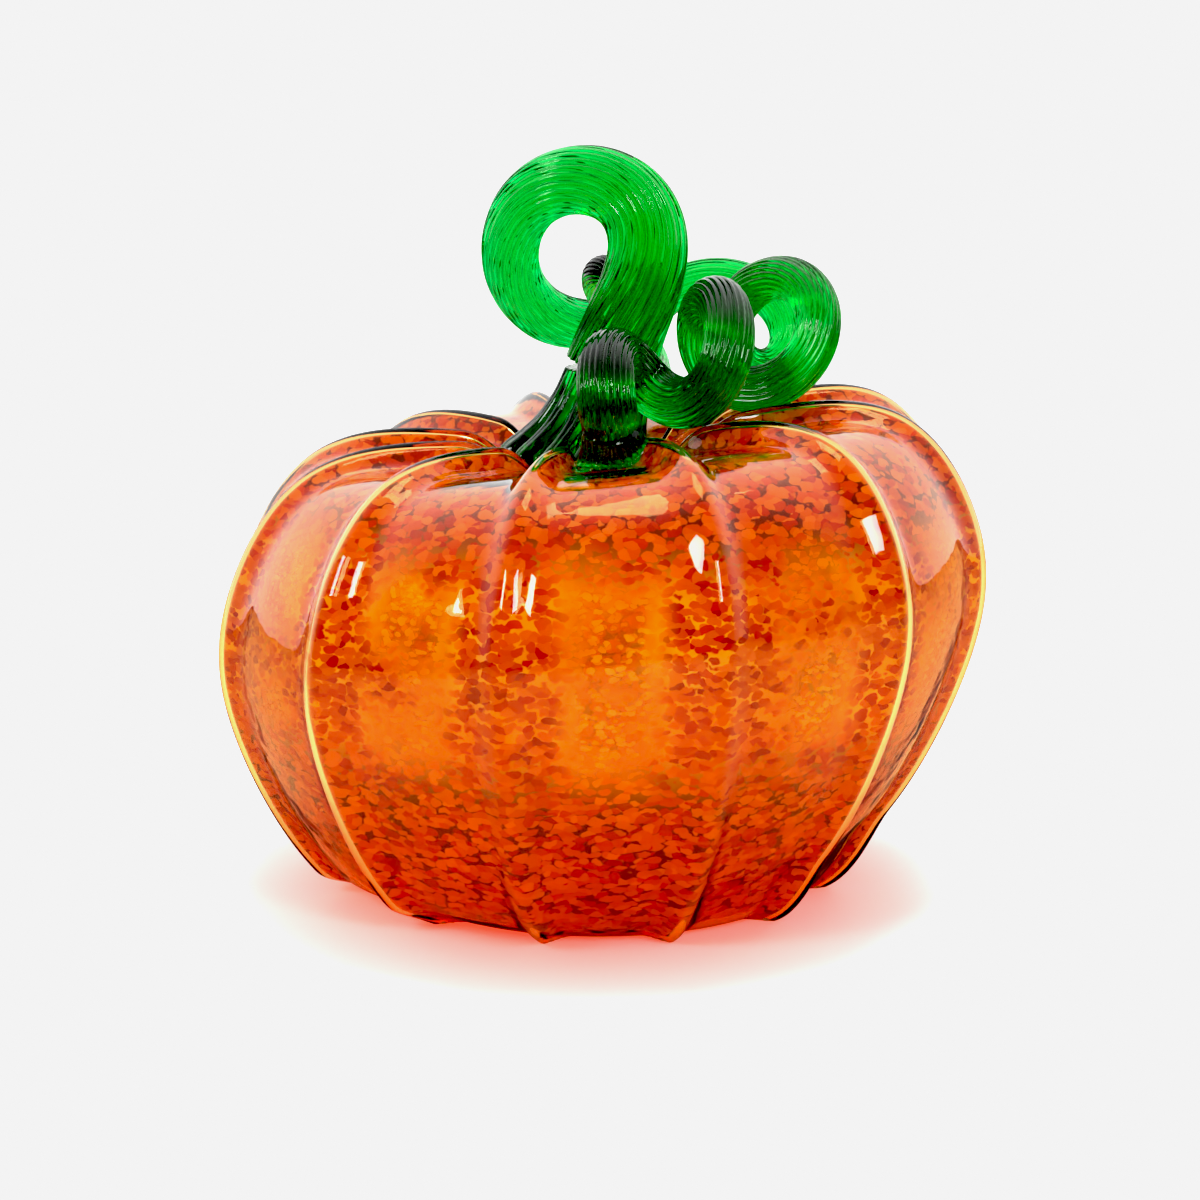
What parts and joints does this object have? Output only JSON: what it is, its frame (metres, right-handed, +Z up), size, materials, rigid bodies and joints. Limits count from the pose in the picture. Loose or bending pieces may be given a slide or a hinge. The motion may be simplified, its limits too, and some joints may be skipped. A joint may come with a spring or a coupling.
{
  "type": "glass pumpkin figure",
  "caption": "Squat ribbed hollow glass pumpkin with a curled green glass stem and a coiled green tendril, standing on a flat base ring.",
  "frame": {"origin": "middle of the bounding box on the ground under the base ring", "axes": "+Z up, -Y is the front with the tendril's first turn, +X is the side with the tendril's widest turns"},
  "size_m": [0.1756, 0.1756, 0.1719],
  "materials": {
    "clear_casing_glass": "fire-polished clear casing",
    "orange_frit_glass": "fused orange frit chips with amber and red gaps",
    "clear_inner_glass": "smooth clear inner wall",
    "green_stem_glass": "reeded transparent emerald cane",
    "green_tendril_glass": "reeded transparent emerald cane"
  },
  "bodies": {
    "root": {"clear_casing": "clear_casing_glass", "frit_colour_layer": "orange_frit_glass", "clear_inner_wall": "clear_inner_glass", "pontil_mark": "clear_casing_glass", "stem_root": "green_stem_glass", "stem_curl": "green_stem_glass", "tendril_root": "green_tendril_glass", "tendril": "green_tendril_glass"}
  },
  "joints": []
}
